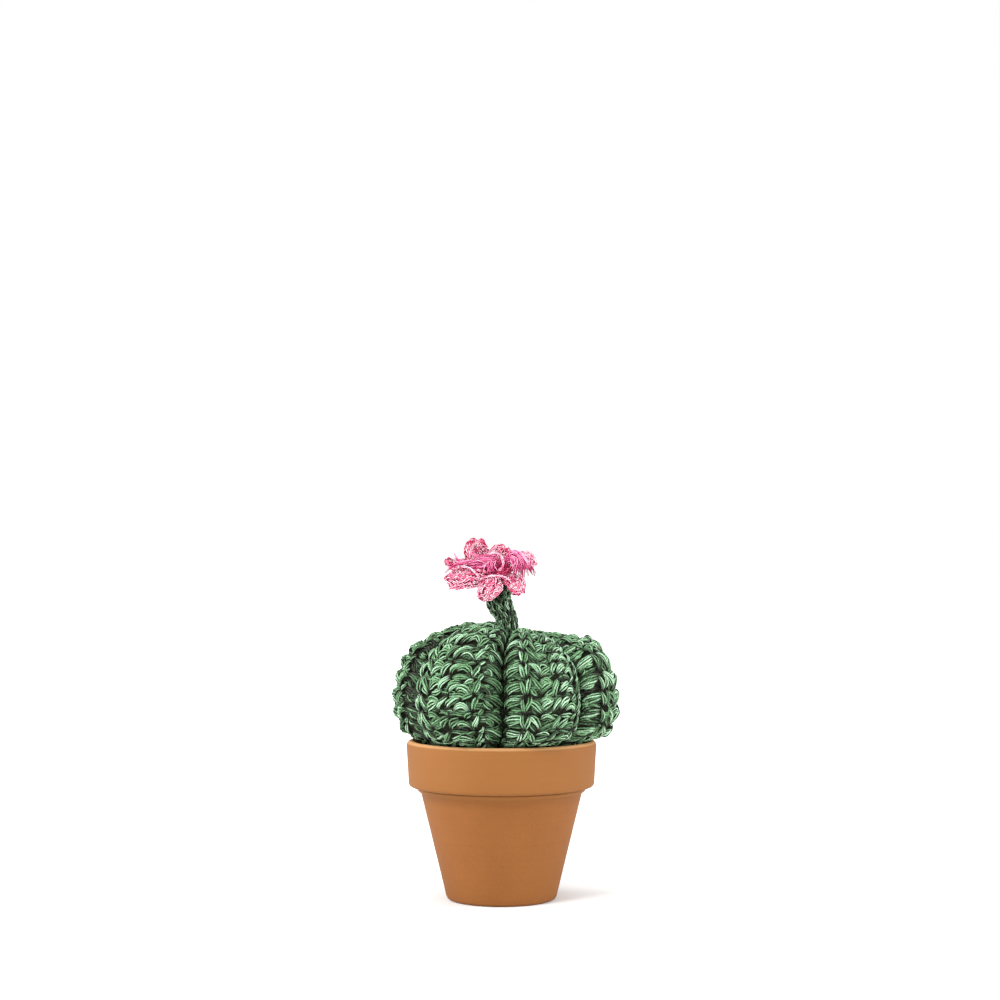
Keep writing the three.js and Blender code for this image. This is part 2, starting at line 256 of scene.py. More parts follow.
def yarn_finish(name, shades, roughness, dark=(0.013, 0.013, 0.007), turned=0.1, plies=6,
                flecks=(1100, 0.7)):
    """Twisted yarn: each thread has a shade of its own, with flecks, and painted shade where it turns under,
    towards its ends and between its plies.
    """
    finish = Finish(name, Specular_IOR_Level=0.3)
    place = finish.place()
    tone = finish.add("ShaderNodeAttribute", {"attribute_name": "tone"}, out="Fac")
    patches, fibres = finish.noise(place, 160, 3), finish.noise(place, 5200, 2)
    scale, contrast = flecks
    shade = tone * 0.75 + patches * 0.5 + finish.noise(place, scale, 2) * contrast
    colour = finish.ramp(shade - (0.13 + contrast / 2), *shades)
    along, around = finish.thread_place()
    # Painted shade: the dark colour is laid on the side of a thread turned away from the fabric's out way,
    # towards the thread's ends, and in the grooves between its plies.
    ends = (2 * along - 1) ** 4
    twist = finish.add("ShaderNodeMath", {"operation": "SINE"}, {0: (along * plies + around * 2) * math.tau})
    lit = finish.eased(finish.crown() - ends * 0.4, turned, 0.9)
    finish.surface(
        Base_Color=finish.blend(lit * (0.8 + twist * 0.2), dark, colour),
        Roughness=fibres * 0.2 + (roughness - 0.1),
        Normal=finish.bump(twist * 0.6 + fibres, YARN_BUMP),
    )
    return finish.material


def clay_finish():
    """Fired terracotta: fine grain, faint turning lines, and a painted highlight along the top of the lip."""
    finish = Finish("terracotta_clay", Specular_IOR_Level=0.25)
    place = finish.place()
    height = finish.add("ShaderNodeSeparateXYZ", None, {"Vector": place}, "Z")
    stretched = finish.add("ShaderNodeMapping", None, {"Vector": place, "Scale": (18, 18, 900)})
    turning = finish.noise(stretched, 1, 3)
    clouds = finish.noise(place, 38, 4, 0.6)
    grain = finish.noise(place, 1700, 3, 0.7)
    rim, lip = finish.eased(height, *RIM_FOOT), finish.eased(height, *LIP_EDGE)
    shade = clouds * 0.4 + turning * 0.1 + grain * 0.5
    body = finish.ramp(shade, (0.3, (0.178, 0.059, 0.011)), (0.7, (0.24, 0.087, 0.017)))
    body = finish.blend(rim * 0.6, body, (0.226, 0.089, 0.0195))
    finish.surface(
        # Painted highlight: the lip's top is paler, where the light from above catches it.
        Base_Color=finish.blend(lip * 0.8, body, (0.52, 0.28, 0.12)),
        Roughness=grain * 0.25 + 0.62,
        Normal=finish.bump(turning * 0.5 + grain * 0.35 + clouds * 0.3, CLAY_BUMP),
    )
    return finish.material


def ground_finish():
    """The back of the fabric, seen in the gaps between the loops of yarn, coloured near black as painted
    shade.
    """
    finish = Finish("fabric_ground_painted_shade", Roughness=0.9, Specular_IOR_Level=0.1)
    loops = finish.add("ShaderNodeTexVoronoi", None, {"Vector": finish.place(), "Scale": 900})
    finish.surface(
        Base_Color=finish.ramp(loops, (0, (0.022, 0.03, 0.015)), (0.8, (0.01, 0.012, 0.006))),
        Normal=finish.bump(1 - loops, GROUND_BUMP),
    )
    return finish.material


def sheet_finish():
    """The deep pink fabric under the petals' loops, darkened between its loops as painted shade."""
    finish = Finish("deep_pink_fabric_and_painted_shade", Roughness=0.9, Specular_IOR_Level=0.1)
    loops = finish.add("ShaderNodeTexVoronoi", None, {"Vector": finish.place(), "Scale": 1500})
    finish.surface(Base_Color=finish.ramp(loops, (0.1, (0.7, 0.09, 0.24)), (0.6, (0.26, 0.01, 0.04))))
    return finish.material


def filling_finish():
    """Off-white polyester filling, in tufts."""
    finish = Finish("white_filling", Sheen_Weight=0.3)
    tufts = finish.noise(finish.place(), 220, 6, 0.7)
    finish.surface(
        Base_Color=finish.ramp(tufts, (0.3, (0.55, 0.54, 0.5)), (0.7, (0.82, 0.81, 0.78))),
        Roughness=tufts * 0.2 + 0.75,
        Normal=finish.bump(tufts, FILLING_BUMP),
    )
    return finish.material


def floor_finish():
    """White paper with painted light: it glows more the farther it is from the pot, so that it has no far
    edge, and not at all within 20 mm of the pot's axis, which leaves a painted shadow round the pot's foot.
    """
    finish = Finish("white_floor", Roughness=0.9, Specular_IOR_Level=0.0, Emission_Strength=1.0)
    place = finish.place()
    paper = finish.noise(place, 3, 2)
    away = finish.add("ShaderNodeVectorMath", {"operation": "LENGTH"}, {0: place}, "Value")
    finish.surface(
        Base_Color=finish.ramp(paper, (0, (0.72, 0.72, 0.72)), (1, (0.74, 0.74, 0.74))),
        Emission_Color=finish.ramp(away, *((reach, (glow,) * 3) for reach, glow in FLOOR_GLOW)),
    )
    return finish.material


def add_studio():
    """A white room, brightest overhead, that the camera sees as plain white."""
    world = bpy.data.worlds.new("studio")
    world.use_nodes = True
    scene.world = world
    room = Nodes(world.node_tree, "Background")
    direction = room.add("ShaderNodeTexCoord", out="Generated")
    height = room.add("ShaderNodeSeparateXYZ", None, {"Vector": direction}, "Z")
    overhead = room.add("ShaderNodeMapRange", {"interpolation_type": "SMOOTHSTEP"},
                        {"Value": height, "To Min": SIDE_LIGHT, "To Max": TOP_LIGHT})
    seen = room.add("ShaderNodeLightPath", out="Is Camera Ray")
    strength = room.add("ShaderNodeMix", None, {"Factor": seen, "A": overhead, "B": 1}, "Result")
    room.surface(Color=(1, 1, 1), Strength=strength)


# ------------------------ smooth lines
class Line:
    """A smooth line through given points, read by its share of length."""

    STEPS = 20                           # between two of its points

    def __init__(self, points):
        self.points = [Vector(p) for p in points]
        last = len(self.points) - 1
        spots = range(last * self.STEPS + 1)
        self.track = [self.between(min(i // self.STEPS, last - 1), i) for i in spots]
        self.reach = [0]
        for here, after in zip(self.track, self.track[1:]):
            self.reach.append(self.reach[-1] + (after - here).length)

    def between(self, i, spot):
        """Catmull-Rom, with the end points doubled."""
        share = spot / self.STEPS - i
        last = len(self.points) - 1
        a, b = self.points[max(0, i - 1)], self.points[i]
        c, d = self.points[i + 1], self.points[min(last, i + 2)]
        leave, arrive = (c - a) / 2, (d - b) / 2
        return (
            b + leave * share + (3 * (c - b) - 2 * leave - arrive) * share**2
            + (2 * (b - c) + leave + arrive) * share**3
        )

    @property
    def length(self):
        return self.reach[-1]

    def at(self, share):
        target = min(1, max(0, share)) * self.length
        i = min(len(self.reach) - 2, bisect.bisect_right(self.reach, target) - 1)
        step = self.reach[i + 1] - self.reach[i]
        return self.track[i].lerp(self.track[i + 1], (target - self.reach[i]) / step)

    def heading(self, share, step=0.01):
        return (self.at(share + step) - self.at(share - step)).normalized()


# ------------------------ yarn
# A thread is its points, in millimetres, each with the thread's radius there, the way that
# is out from the fabric under it, and its tone, dark at 0 and pale at 1. The tone is partly the
# yarn's own shade, at random, and partly painted shade and painted light; the way out sets
# where the thread's painted shade falls.
Thread = namedtuple("Thread", "points radii out tone")
# A spot of a band of threads: its middle, what is out from the fabric there, and how full
# of its width the band is.
Spot = namedtuple("Spot", "middle out share")

THREAD_SIDES = 6
BAND_STEPS = 6                           # along each thread of a band
CAP_FACES = 2 * (THREAD_SIDES - 2)       # at both ends of a thread
CAP_WELD = 0.002                         # joins the caps to the thread's sides


def band(draw, spots, width, count, radius, bulge, tone, twist=1.3, loose=0.32):
    """Wavy threads side by side over a round yarn, a little twisted, which narrows at its ends."""
    spots = [arc_spot(spots, i / BAND_STEPS) for i in range(BAND_STEPS + 1)]
    out = sum((spot.out for spot in spots), Vector()).normalized()
    threads = [yarn_core(spots, bulge, out, tone)]
    twist = twist * draw.uniform(0.6, 1.4)
    for j in range(count):
        points, radii = [], []
        thickness = radius * draw.uniform(0.8, 1.15)
        start = math.pi * (j + 0.5) / count
        for i, spot in enumerate(spots):
            ahead = spots[min(BAND_STEPS, i + 1)].middle - spots[max(0, i - 1)].middle
            side = ahead.cross(spot.out).normalized()
            turn = start + twist * (i / BAND_STEPS - 0.5)
            across = -math.cos(turn) * width / 2 * spot.share + draw.uniform(-loose, loose)
            crown = math.sin(turn) * bulge * spot.share + draw.uniform(-loose, loose) / 2
            points.append(spot.middle + side * across + spot.out * crown)
            radii.append(thickness * mix(0.7, 1, spot.share))
        # Painted shade: the threads at the band's sides are darker than those over its crown, and each has a
        # random tone of its own on top.
        shade = tone + 0.4 * (math.sin(start) - 0.7) + draw.uniform(-0.5, 0.5)
        threads.append(Thread(points, radii, out, shade))
    return threads


def arc_spot(spots, share):
    """A spot of the arc that four spots make, the middle two by their pull."""
    rest = 1 - share
    pulls = (rest**3, 3 * rest**2 * share, 3 * rest * share**2, share**3)
    middle = sum((spot.middle * pull for spot, pull in zip(spots, pulls)), Vector())
    out = sum((spot.out * pull for spot, pull in zip(spots, pulls)), Vector()).normalized()
    return Spot(middle, out, sum(spot.share * pull for spot, pull in zip(spots, pulls)))


def yarn_core(spots, bulge, out, tone):
    """The inner threads, which fill the yarn up, darker in tone as painted shade."""
    points = [spot.middle + spot.out * bulge * 0.15 * spot.share for spot in spots]
    return Thread(points, [bulge * 0.5 * spot.share for spot in spots], out, tone - 0.6)


def thread_piece(name, threads, steps=1):
    """Turns threads into one mesh of round closed strands, each with a tone of its own."""
    curve = bpy.data.curves.new(name, "CURVE")
    curve.dimensions = "3D"
    curve.bevel_mode = "ROUND"
    curve.bevel_depth = 1
    curve.bevel_resolution = THREAD_SIDES // 2 - 2
    curve.use_fill_caps = True
    for thread in threads:
        spline = curve.splines.new("NURBS")
        spline.points.add(len(thread.points) - 1)
        for point, place, radius in zip(spline.points, thread.points, thread.radii):
            point.co = (*place, 1)
            point.radius = radius
        spline.order_u = 4
        spline.use_endpoint_u = True
        spline.resolution_u = steps
    mesh = mesh_of_curve(name, curve)
    mesh.transform(Matrix.Translation(POT_AXIS) @ Matrix.Scale(MM, 4))
    mark_threads(mesh, threads)
    body = bmesh.new()
    body.from_mesh(mesh)
    bmesh.ops.remove_doubles(body, verts=body.verts, dist=MM * CAP_WELD)
    body.to_mesh(mesh)
    body.free()
    return add_object(name, mesh)


def mesh_of_curve(name, curve):
    holder = add_object(name + "_curve", curve)
    shown = holder.evaluated_get(bpy.context.evaluated_depsgraph_get())
    mesh = bpy.data.meshes.new_from_object(shown)
    bpy.data.objects.remove(holder)
    bpy.data.curves.remove(curve)
    mesh.name = name
    return mesh


def mark_threads(mesh, threads):
    """Every face knows its thread's tone and which way is out from the fabric there."""
    tone = mesh.attributes.new("tone", "FLOAT", "FACE")
    out = mesh.attributes.new("out", "FLOAT_VECTOR", "FACE")
    side_faces = len(mesh.polygons) // len(threads) - CAP_FACES
    # the caps come first, from the last thread back to the first
    marks = [(i, CAP_FACES) for i in reversed(range(len(threads)))]
    marks += [(i, side_faces) for i in range(len(threads))]
    tone.data.foreach_set("value", [threads[i].tone for i, count in marks for _ in range(count)])
    out.data.foreach_set("vector", [x for i, count in marks for x in tuple(threads[i].out) * count])


# ------------------------ plain meshes
def piece_of(name, body):
    """Puts a finished bmesh, still in millimetres, into the scene as a piece."""
    for vertex in body.verts:
        vertex.co = in_frame(vertex.co)
    for face in body.faces:
        face.smooth = True
    mesh = bpy.data.meshes.new(name)
    body.to_mesh(mesh)
    body.free()
    return add_object(name, mesh)


def mapped_grid(columns, rows, shape):
    """A grid bent into shape: shape(u, v) gives the point for shares across and up it."""
    body = bmesh.new()
    bmesh.ops.create_grid(body, x_segments=columns, y_segments=rows, size=0.5)
    for vertex in body.verts:
        vertex.co = shape(vertex.co.x + 0.5, vertex.co.y + 0.5)
    return body


def close_up(body, weld=0.02):
    """Merges the seam, closes what is still open and turns the faces outwards."""
    bmesh.ops.remove_doubles(body, verts=body.verts, dist=weld)
    rims = [e for e in body.edges if e.is_boundary]
    bmesh.ops.holes_fill(body, edges=rims, sides=0)
    bmesh.ops.recalc_face_normals(body, faces=body.faces)


def finish_piece(piece, material, node):
    piece.data.materials.append(material)
    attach(piece, "root")
    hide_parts(node)


def build_floor():
    body = bmesh.new()
    bmesh.ops.create_grid(body, x_segments=2, y_segments=2, size=FLOOR_SIZE / 2 / MM)
    floor = piece_of("floor", body)
    floor.data.materials.append(floor_finish())


# ------------------------ pot
POT_HEIGHT = 50
RIM_RADIUS, RIM_LOW_RADIUS, RIM_HEIGHT = 30.2, 29.5, 15.2
LIP_THICKNESS = 3
WALL_TOP_RADIUS, BASE_RADIUS, BASE_CORNER = 25.6, 17.3, 1.3
WALL_THICKNESS, FLOOR_THICKNESS = 2.6, 3.4
DRAIN_RADIUS = 4
BEAD = 1.3                               # how far the bead under the rim stands out from the wall
POT_SIDES = 144


def bend_on(outline, bend, end, steps=6):
    """Carries an outline on to an end, rounded towards the bend."""
    start = outline[-1]
    for i in range(1, steps + 1):
        s = i / steps
        outline.append([mix(mix(a, b, s), mix(b, c, s), s) for a, b, c in zip(start, bend, end)])


def straight_on(outline, end, steps):
    start = outline[-1]
    outline += [[mix(a, b, i / steps) for a, b in zip(start, end)] for i in range(1, steps + 1)]


def lip_turn(across, up, radius, steps=12):
    """From the outside of the lip over to its inside."""
    angles = [math.pi * i / steps for i in range(steps + 1)]
    return [(across + radius * math.cos(a), up + radius * math.sin(a)) for a in angles]


def pot_outline():
    """Half the pot in section: out along its foot, up the wall and rim, and down inside."""
    rim_foot = POT_HEIGHT - RIM_HEIGHT
    wall_top = rim_foot - 1.2
    bead_radius, bead_top = WALL_TOP_RADIUS + BEAD, rim_foot + 0.5
    lip = LIP_THICKNESS / 2
    inside_top = RIM_RADIUS - LIP_THICKNESS
    inside_low = BASE_RADIUS - WALL_THICKNESS + 0.9
    outline = [(DRAIN_RADIUS, 0), (BASE_RADIUS - BASE_CORNER, 0)]
    bend_on(outline, (BASE_RADIUS, 0), (BASE_RADIUS + 0.3, BASE_CORNER))
    straight_on(outline, (WALL_TOP_RADIUS, wall_top), 10)
    bend_on(outline, (bead_radius - 0.6, wall_top + 0.1), (bead_radius - 0.1, wall_top + 1))
    bend_on(outline, (bead_radius + 0.2, bead_top - 0.3), (bead_radius - 0.3, bead_top))
    bend_on(outline, (bead_radius, bead_top + 0.4), (bead_radius + 0.5, bead_top + 0.1))
    bend_on(outline, (RIM_LOW_RADIUS - 0.2, bead_top), (RIM_LOW_RADIUS, rim_foot + 1.8))
    straight_on(outline, (RIM_RADIUS, POT_HEIGHT - lip), 4)
    outline += lip_turn(RIM_RADIUS - lip, POT_HEIGHT - lip, lip)[1:]
    outline += [(inside_top - 0.8, rim_foot + 2.5)]
    bend_on(outline, (inside_top - 1.1, rim_foot - 0.5), (WALL_TOP_RADIUS - WALL_THICKNESS, wall_top - 0.8))
    outline += [(inside_low, FLOOR_THICKNESS + 2)]
    bend_on(outline, (inside_low - 0.3, FLOOR_THICKNESS), (inside_low - 2.2, FLOOR_THICKNESS))
    return outline + [(DRAIN_RADIUS, FLOOR_THICKNESS)]


def build_pot():
    body = bmesh.new()
    corners = [body.verts.new((across, 0, up)) for across, up in pot_outline()]
    edges = [body.edges.new((a, b)) for a, b in zip(corners, corners[1:] + corners[:1])]
    bmesh.ops.spin(body, geom=corners + edges, axis=UP, cent=(0, 0, 0), angle=math.tau,
                   steps=POT_SIDES, use_merge=True)
    close_up(body, weld=0.001)
    pot = piece_of("terracotta_pot", body)
    finish_piece(pot, clay_finish(), "pot")


# ------------------------ cactus body
CREASES = [-3, 49, 108, 170, 232, 295]   # degrees round from the front, towards +X
# Painted shade towards every crease and on a lobe's side that lies behind another, and painted light away
# from that side.
VALLEY_SHADE, DEEP_SHADE, FAR_LIGHT = 0.32, 0.42, 0.28   # how much darker the yarn is there, or paler
LOBE_TURN = 1.48                         # how far a lobe's arc turns from its middle to a crease
FULL_LOBE, FULLNESS = 335, 0.04          # direction of the fullest lobe, and how much fuller it is
EQUATOR = 64
SIDE_SHIFT, TOP_LEAN, TOP_SAG = 1.9, 2.1, 2.3   # to the right, and down right of the stem
DROOP, TUCK, SHOULDER = 1.3, 1.2, 2.4    # of the lobes on the right: over the lip, in above it, up at the top
TOP_SWELL = 0.9                          # of the lobe left of the stem
ROWS = 17                                # of stitches, from the bottom gather to the top one
YARN_DEPTH = 1.2                         # from the outline in to the ground fabric
FABRIC = 2.2                             # thickness of the cover
STUFFING_INSET = FABRIC + 0.95
YARN_RADIUS, YARN_PITCH = 0.33, 0.7      # of the strands of a loop
YARN_INSET = 0.75                        # the loops' feet lie this far inside the outline
LOFT = 0.95                              # how far the loops stand out, against the heights below

CREST = Line([
    (2.2, 43.6), (10, 40.8), (18.6, 42.6), (23.2, 46.2), (25.4, 49.3), (28.2, 51.2), (31.2, 51.7),
    (34, 54.6), (35.5, 59), (35.8, 64), (35, 69.4), (33.2, 75), (29.6, 80), (24, 84),
    (17, 86.3), (10.5, 86.3), (5.5, 84.3), (2.5, 81.5),
])
CREASE = Line([
    (1.7, 44.6), (9, 44.2), (16.5, 46.2), (21.4, 50.4), (24.4, 55.5), (25.8, 61), (25.9, 66),
    (24.9, 71.5), (22, 77), (16.8, 81.2), (11, 83), (6, 82.6), (2, 80.6),
])


def settle(point):
    """The stuffed body isn't even: one lobe is fuller, and the top leans."""
    angle = math.atan2(point.x, -point.y)
    swell = 1 + FULLNESS * math.cos(angle - math.radians(FULL_LOBE)) * smooth(POT_HEIGHT, EQUATOR, point.z)
    shift = SIDE_SHIFT * smooth(POT_HEIGHT - 3, POT_HEIGHT + 6, point.z)
    lean = TOP_LEAN * smooth(78, 89, point.z)
    sag = TOP_SAG * smooth(2, 9, point.x) * smooth(72, 84, point.z)
    sag += DROOP * smooth(28, 33, point.x) * (1 - smooth(52, 60, point.z))
    sag -= SHOULDER * smooth(20, 27, point.x) * (1 - smooth(29, 33, point.x)) * smooth(70, 78, point.z)
    sag -= TOP_SWELL * smooth(-20, -14, point.x) * (1 - smooth(-8, -2, point.x)) * smooth(78, 84, point.z)
    tuck = TUCK * smooth(28, 34, point.x) * (1 - smooth(51, 58, point.z))
    return Vector((point.x * swell + shift + lean - tuck, point.y * swell, point.z - sag))


class Lobe:
    """One lobe of the body: v runs across it from crease to crease, -1 to 1, and t up it."""

    def __init__(self, start, end):
        self.middle = math.radians((start + end) / 2)
        self.half = math.radians((end - start) / 2)
        self.deep_side = 0               # -1 or 1 for a side that lies in the shade of another lobe

    def point(self, v, t):
        turn = v * LOBE_TURN
        share = (math.cos(turn) - math.cos(LOBE_TURN)) / (1 - math.cos(LOBE_TURN))
        across, up = CREASE.at(t).lerp(CREST.at(t), share)
        angle = self.middle + self.half * math.sin(turn) / math.sin(LOBE_TURN)
        return Vector((across * math.sin(angle), -across * math.cos(angle), up))

    def out(self, v, t):
        """Square to the surface, outwards."""
        step = 0.004
        upward = self.point(v, min(1, t + step)) - self.point(v, max(0, t - step))
        if abs(v) == 1:
            angle = self.middle + v * self.half
            sideways = Vector((math.cos(angle), math.sin(angle), 0))
        else:
            sideways = self.point(v + step, t) - self.point(v - step, t)
        return sideways.cross(upward).normalized()

    def inside(self, v, t, depth):
        return settle(self.point(v, t) - self.out(v, t) * depth)

    def valley(self, v):
        """Painted shade and painted light: how much darker the yarn is towards the creases and on a deep
        side, and paler away from a deep side.
        """
        hidden = v * self.deep_side
        shade = VALLEY_SHADE * smooth(0.72, 1, abs(v)) + DEEP_SHADE * smooth(0.25, 0.75, hidden)
        return shade - FAR_LIGHT * abs(self.deep_side) * smooth(-0.35, 0.1, -hidden)

    def width(self, t):
        """From a crease to the crest, in a straight line."""
        return (self.point(0, t) - self.point(1, t)).length


LOBES = [Lobe(start, end) for start, end in zip(CREASES, CREASES[1:] + [CREASES[0] + 360])]
LOBES[1].deep_side, LOBES[4].deep_side = -1, 1   # half hidden behind the two front lobes

# The loops of one row of the fabric, over a lobe. A loop's path goes over one zone of the
# lobe: its share across the zone, rows up and millimetres out. Between the zones of tall
# stitches, which lie across the lobe, stand two chains of V's.
Zone = namedtuple("Zone", "start width loops")
Loop = namedtuple("Loop", "path width")
ZONES = [
    Zone(-1, 0.6, [  # plump puffs of slanted threads, between tucked-in bands
        Loop(((-0.04, -0.4, 0), (0.08, -0.1, 0.3), (0.2, 0.1, 0.3), (0.36, 0.35, -0.4)), 2.2),
        Loop(((0.2, -0.32, -0.6), (0.42, -0.02, 1.3), (0.75, 0.26, 1.3), (1.0, 0.28, -0.2)), 3.5),
        Loop(((0.1, -0.64, -0.8), (0.4, -0.47, 0.2), (0.7, -0.42, 0.2), (1.0, -0.34, -0.4)), 1.7),
    ]),
    Zone(-0.4, 0.4, [  # a round leaf falling to the right, then an arch with leaves under it
        Loop(((0.1, 0.42, -0.1), (0.3, 0.34, 1.5), (0.5, -0.05, 1.6), (0.62, -0.4, -0.3)), 2.4),
        Loop(((0.5, 0.0, -0.3), (0.65, 0.44, 1.2), (0.85, 0.42, 1.2), (1.02, 0.0, -0.3)), 1.9),
        Loop(((0.52, -0.45, -0.4), (0.66, -0.1, 1.1), (0.82, 0.15, 1.1), (1.0, 0.25, -0.3)), 2.3),
        Loop(((0.62, -0.62, -0.6), (0.75, -0.5, 0.4), (0.88, -0.35, 0.4), (1.04, -0.1, -0.5)), 2.0),
        Loop(((0.16, -0.1, -0.4), (0.24, -0.25, 0.5), (0.36, -0.4, 0.5), (0.5, -0.62, -0.5)), 1.7),
    ]),
    Zone(0, 0.4, [  # leaves leaning to the right, the last one bowed over, and a tucked-in band
        Loop(((-0.05, -0.46, -0.3), (-0.02, -0.05, 1.3), (0.08, 0.3, 1.3), (0.23, 0.44, -0.2)), 2.3),
        Loop(((0.19, -0.36, -0.3), (0.27, -0.02, 1.5), (0.42, 0.32, 1.5), (0.63, 0.3, -0.2)), 2.4),
        Loop(((0.4, -0.32, -0.2), (0.52, 0.08, 1.6), (0.72, 0.08, 1.6), (0.93, -0.38, -0.2)), 2.4),
        Loop(((0.66, 0.08, -0.3), (0.74, 0.3, 1.0), (0.84, 0.46, 1.0), (0.98, 0.5, -0.1)), 1.7),
        Loop(((0.2, -0.62, -0.5), (0.42, -0.5, 0.4), (0.64, -0.5, 0.4), (0.86, -0.58, -0.5)), 2.1),
        Loop(((0.78, 0.15, -0.3), (0.84, -0.1, 0.6), (0.86, -0.3, 0.6), (0.9, -0.56, -0.3)), 1.3),
    ]),
    Zone(0.4, 0.6, [  # the longest leaves, which fall into the crease, over darker bands
        Loop(((0.13, 0.48, -0.1), (0.4, 0.42, 1.6), (0.7, 0.02, 1.6), (1.0, -0.4, 0.2)), 2.6),
        Loop(((0.2, 0.12, -0.4), (0.28, -0.02, 0.7), (0.38, -0.2, 0.7), (0.5, -0.45, -0.4)), 2.1),
        Loop(((0.36, -0.6, -0.6), (0.55, -0.44, 0.3), (0.72, -0.44, 0.3), (0.92, -0.56, -0.7)), 1.9),
        Loop(((0.74, 0.2, -0.6), (0.86, 0.1, 0), (0.96, -0.05, 0.1), (1.04, -0.2, 0.2)), 1.8),
    ]),
    Zone(-0.4, 0.4, [  # the V's of the left chain
        Loop(((-0.15, 0.46, -0.1), (-0.11, 0.1, 1.6), (-0.03, -0.2, 1.6), (0.03, -0.56, -0.1)), 1.7),
        Loop(((0.17, 0.52, 0), (0.21, 0.2, 1.6), (0.14, -0.12, 1.6), (0.06, -0.48, 0)), 1.6),
    ]),
    Zone(0.4, 0.4, [  # and of the right one, which leans more
        Loop(((-0.07, -0.52, -0.1), (-0.03, -0.15, 1.7), (0.05, 0.2, 1.7), (0.12, 0.44, -0.1)), 1.8),
        Loop(((0.08, 0.28, 0), (0.15, 0.45, 1.3), (0.2, 0.6, 1.3), (0.27, 0.76, 0)), 1.3),
    ]),
]
FILLERS, SHORT_LEAVES = 14, 2            # loose bands low in the fabric, and leaves, in each row
FULL_WIDTH = 19.5                        # of half a lobe where its loops have their full size


def loop_threads(lobe, row, zone, loop, draw):
    """One loop of the fabric, smaller where the lobe narrows towards its gathers."""
    shift, lift = draw.uniform(-0.1, 0.1), draw.uniform(-0.3, 0.1)
    scale = min(1, 0.25 + 0.75 * lobe.width(min(1, (row + 0.5) / ROWS)) / FULL_WIDTH)
    spots = []
    for i, (across, up, out) in enumerate(loop.path):
        v = zone.start + zone.width * (across + draw.uniform(-0.05, 0.05))
        t = min(0.995, max(0.005, (row + 0.5 + up + shift + draw.uniform(-0.06, 0.06)) / ROWS))
        normal = lobe.out(v, t)
        height = (LOFT * out + (lift if i in (1, 2) else 0)) * scale - YARN_INSET
        spots.append(Spot(lobe.point(v, t) + normal * height, normal, 1 if i in (1, 2) else 0.4))
    width = loop.width * scale * draw.uniform(0.9, 1.1)
    count = max(2, round(width / YARN_PITCH))
    rise = max(point[2] for point in loop.path)
    # Painted shade: the lower a loop stands, the darker it is, and valley adds the painted shade and light of
    # the creases and deep sides; a little random tone on top.
    tone = mix(0.1, 0.62, smooth(-0.2, 1.5, rise)) - lobe.valley(v) + draw.uniform(-0.12, 0.12)
    threads = band(draw, spots, width, count, YARN_RADIUS * mix(0.7, 1, scale), 0.3 * width, tone)
    return [thread._replace(points=[settle(p) for p in thread.points]) for thread in threads]


def stray_loop(v, length, up, slope, feet, middle):
    """A loop outside the zones: feet and middle say how far out its ends and its middle stand."""
    path = [(share * length, up + slope * (share - 0.5), out)
            for share, out in ((0, feet), (0.33, middle), (0.66, middle), (1, feet))]
    return Zone(v, 1, ()), Loop(path, 2.2)


def filler(draw):
    """A loose low band anywhere in a row, which closes the gaps between its loops."""
    v, up, slope = draw.uniform(-1, 0.8), draw.uniform(-0.4, 0.4), draw.uniform(-0.3, 0.3)
    return stray_loop(v, 0.3, up, slope, feet=-0.9, middle=0)


def short_leaf(draw, side):
    """A short plump loop, which breaks up the long bands where they are seen square on."""
    v, up, slope = draw.uniform(0.3, 0.85), draw.uniform(-0.45, 0.45), draw.uniform(-0.5, 0.5)
    return stray_loop(side * v - 0.1, 0.2, up, slope, feet=-0.5, middle=1.3)


def build_lobes(material):
    for number, lobe in enumerate(LOBES):
        draw = random.Random(LOBE_SEED + number)
        phase = draw.uniform(-0.3, 0.3)
        threads = []
        for row in range(ROWS):
            loops = [(zone, loop) for zone in ZONES for loop in zone.loops]
            loops += [filler(draw) for _ in range(FILLERS)]
            if lobe.deep_side:
                loops += [short_leaf(draw, lobe.deep_side) for _ in range(SHORT_LEAVES)]
            for zone, loop in loops:
                threads += loop_threads(lobe, row + phase, zone, loop, draw)
        piece = thread_piece(f"lobe_{number + 1}_stitches", threads)
        finish_piece(piece, material, "cactus_cover")


def body_grid(columns, rows, depth, rough=0.0):
    """The closed skin of the whole body, at a depth below the face of the fabric."""
    def shape(u, t):
        place = u * len(LOBES)
        number = min(len(LOBES) - 1, int(place + 1e-6))
        v = min(1, max(-1, 2 * (place - number) - 1))
        point = LOBES[number].inside(round(v, 6), t, depth)
        return point + noise.noise_vector(point * 0.35) * rough

    return mapped_grid(columns * len(LOBES), rows, shape)


def build_ground(material):
    body = body_grid(14, 70, YARN_DEPTH)
    close_up(body)
    ground = piece_of("cover_ground", body)
    finish_piece(ground, material, "cactus_cover")


def build_stuffing():
    noise.seed_set(FILLING_SEED)
    body = body_grid(8, 26, STUFFING_INSET, rough=0.7)
    close_up(body)
    stuffing = piece_of("cactus_filling", body)
    finish_piece(stuffing, filling_finish(), "cactus_stuffing")


# ------------------------ stem
STEM = Line([
    (2.3, 0.1, 83.1), (2.4, 0.5, 86.2), (1.4, 1.2, 89.2), (-0.2, 1.9, 92.3), (-1.2, 2.3, 95),
    (-0.8, 2.2, 98), (-0.2, 1.8, 101.4),
])
STEM_BASE_RADIUS, STEM_TOP_RADIUS = 2.9, 4.3
STEM_ROWS, STEM_COLUMNS = 11, 8
FINE_RADIUS = 0.22                       # of its threads
# One arm of a V: each spot's rows up, columns aside, millimetres out and fullness.
STEM_LEAF = ((-0.75, 0, -1.0, 0.5), (-0.3, 0.3, -0.1, 1), (0.3, 0.42, 0, 1), (0.8, 0.3, -0.9, 0.5))


def stem_radius(share):
    crown = math.sqrt(1 - (0.8 * smooth(0.84, 1, share)) ** 2)
    return mix(STEM_BASE_RADIUS, STEM_TOP_RADIUS, smooth(0, 0.75, share)) * crown


